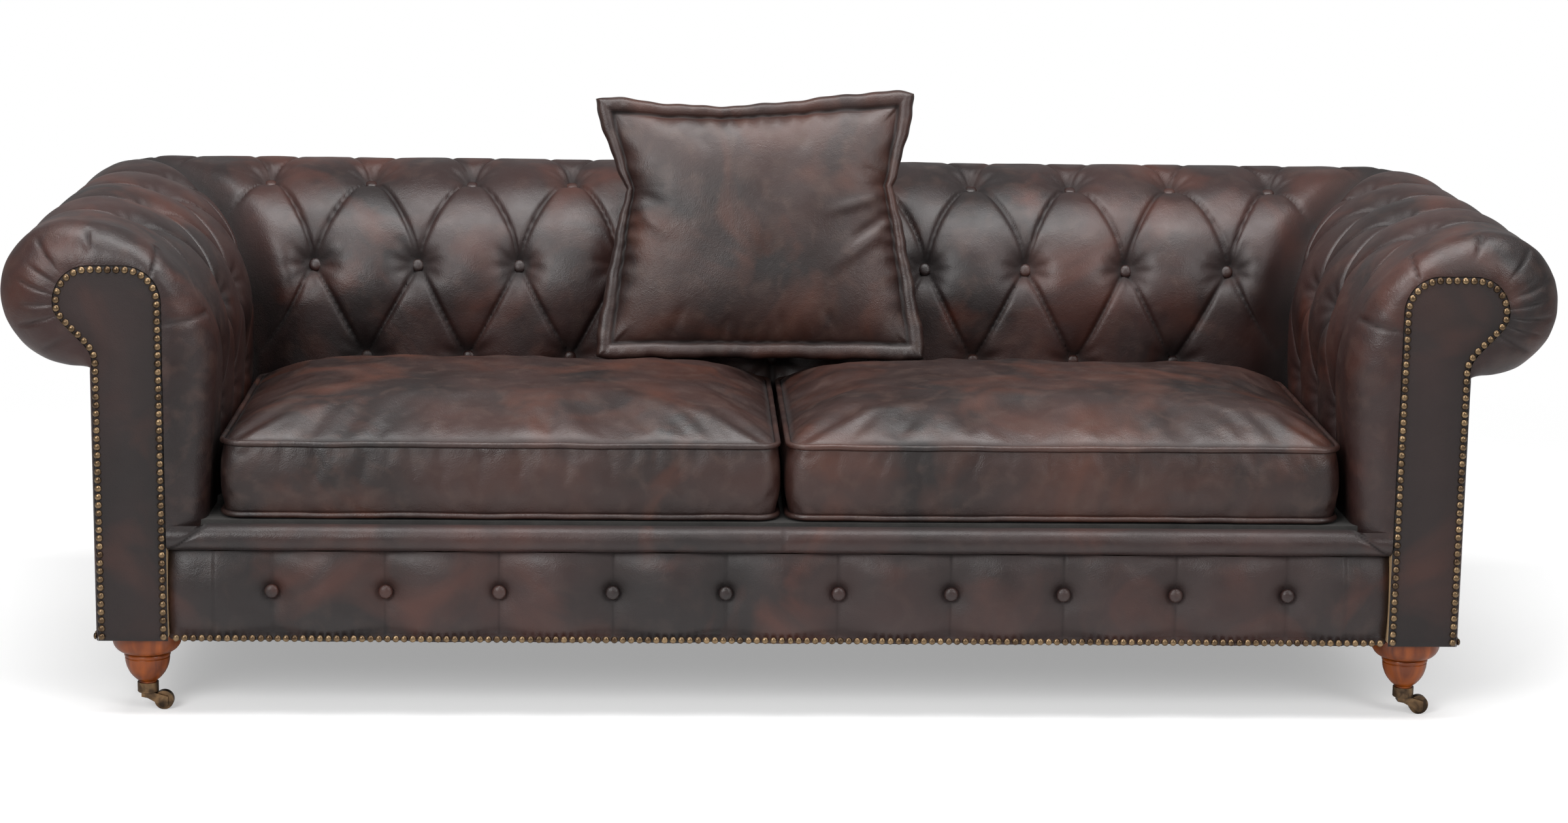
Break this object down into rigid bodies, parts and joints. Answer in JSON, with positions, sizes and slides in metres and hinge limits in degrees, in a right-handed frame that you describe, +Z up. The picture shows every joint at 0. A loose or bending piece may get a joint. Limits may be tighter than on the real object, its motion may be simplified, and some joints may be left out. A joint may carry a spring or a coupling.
{
  "type": "chesterfield sofa",
  "caption": "Button-backed leather sofa with rolled arms level with its back, loose seat cushions, a leather throw pillow and turned legs on casters.",
  "frame": {"origin": "on the floor under the middle of the sofa's outer box", "axes": "+X along the seat to the right as seen from the front, +Y from the front to the back, +Z up"},
  "size_m": [2.4, 0.95, 0.9165],
  "materials": {
    "timber": "planed, bare",
    "leather": "waxed, mottled dark brown hide",
    "cushion_leather": "waxed, mottled dark brown hide",
    "foam": "foam and wadding",
    "lining_cloth": "woven black lining",
    "spring_steel": "oiled steel",
    "antique_brass": "antique, worn bright on the domes",
    "turned_wood": "reddish brown polish",
    "caster_brass": "dark antique"
  },
  "bodies": {
    "sofa": {"front_rail": "timber", "back_rail": "timber", "left_side_rail": "timber", "right_side_rail": "timber", "cross_rails": "timber", "corner_blocks": "timber", "arm_posts": "timber", "arm_top_rails": "timber", "back_posts": "timber", "back_top_rail": "timber", "left_scroll_board": "timber", "right_scroll_board": "timber", "left_scroll_facing": "leather", "right_scroll_facing": "leather", "left_arm_front_pad": "leather", "right_arm_front_pad": "leather", "left_inside_arm_cover": "leather", "right_inside_arm_cover": "leather", "inside_back_cover": "leather", "front_rail_cover": "leather", "front_border": "leather", "left_outside_panel": "leather", "right_outside_panel": "leather", "back_outside_panel": "leather", "back_buttons": "leather", "arm_buttons": "leather", "front_rail_buttons": "leather", "left_arm_padding": "foam", "right_arm_padding": "foam", "back_padding": "foam", "seat_deck": "lining_cloth", "dust_cover": "lining_cloth", "seat_springs": "spring_steel", "spring_clips": "spring_steel", "leg_bolts": "spring_steel", "facing_nails": "antique_brass", "base_nails": "antique_brass", "legs": "turned_wood", "caster_cups": "caster_brass"},
    "left_cushion": {"left_cushion_cover": "cushion_leather", "left_cushion_core": "foam", "left_cushion_piping": "cushion_leather"},
    "right_cushion": {"right_cushion_cover": "cushion_leather", "right_cushion_core": "foam", "right_cushion_piping": "cushion_leather"},
    "throw_pillow": {"pillow_cover": "cushion_leather", "pillow_insert": "foam"},
    "front_left_horn": {"front_left_caster_horn": "caster_brass", "front_left_caster_axle": "caster_brass"},
    "front_left_wheel": {"front_left_caster_wheel": "caster_brass"},
    "front_right_horn": {"front_right_caster_horn": "caster_brass", "front_right_caster_axle": "caster_brass"},
    "front_right_wheel": {"front_right_caster_wheel": "caster_brass"},
    "rear_left_horn": {"rear_left_caster_horn": "caster_brass", "rear_left_caster_axle": "caster_brass"},
    "rear_left_wheel": {"rear_left_caster_wheel": "caster_brass"},
    "rear_right_horn": {"rear_right_caster_horn": "caster_brass", "rear_right_caster_axle": "caster_brass"},
    "rear_right_wheel": {"rear_right_caster_wheel": "caster_brass"}
  },
  "joints": [
    {"name": "front_left_swivel", "type": "hinge", "parent": "sofa", "child": "front_left_horn", "pos_m": [-0.99, -0.405, 0.024], "axis": [0, 0, 1], "continuous": true},
    {"name": "front_left_roll", "type": "hinge", "parent": "front_left_horn", "child": "front_left_wheel", "pos_m": [-0.965, -0.405, 0.015], "axis": [0, 1, 0], "continuous": true},
    {"name": "front_right_swivel", "type": "hinge", "parent": "sofa", "child": "front_right_horn", "pos_m": [0.99, -0.405, 0.024], "axis": [0, 0, 1], "continuous": true},
    {"name": "front_right_roll", "type": "hinge", "parent": "front_right_horn", "child": "front_right_wheel", "pos_m": [1.015, -0.405, 0.015], "axis": [0, 1, 0], "continuous": true},
    {"name": "rear_left_swivel", "type": "hinge", "parent": "sofa", "child": "rear_left_horn", "pos_m": [-0.99, 0.265, 0.024], "axis": [0, 0, 1], "continuous": true},
    {"name": "rear_left_roll", "type": "hinge", "parent": "rear_left_horn", "child": "rear_left_wheel", "pos_m": [-0.9775, 0.28665, 0.015], "axis": [-0.866, 0.5, 0], "continuous": true},
    {"name": "rear_right_swivel", "type": "hinge", "parent": "sofa", "child": "rear_right_horn", "pos_m": [0.99, 0.265, 0.024], "axis": [0, 0, 1], "continuous": true},
    {"name": "rear_right_roll", "type": "hinge", "parent": "rear_right_horn", "child": "rear_right_wheel", "pos_m": [0.97943, 0.28766, 0.015], "axis": [-0.9063, -0.4226, 0], "continuous": true},
    {"name": "left_cushion_pull", "type": "slide", "parent": "sofa", "child": "left_cushion", "axis": [0, -1, 0], "range_m": [0, 0.62]},
    {"name": "right_cushion_pull", "type": "slide", "parent": "sofa", "child": "right_cushion", "axis": [0, -1, 0], "range_m": [0, 0.62]},
    {"name": "pillow_lift", "type": "slide", "parent": "sofa", "child": "throw_pillow", "axis": [0, 0, 1], "range_m": [0, 0.4]}
  ]
}
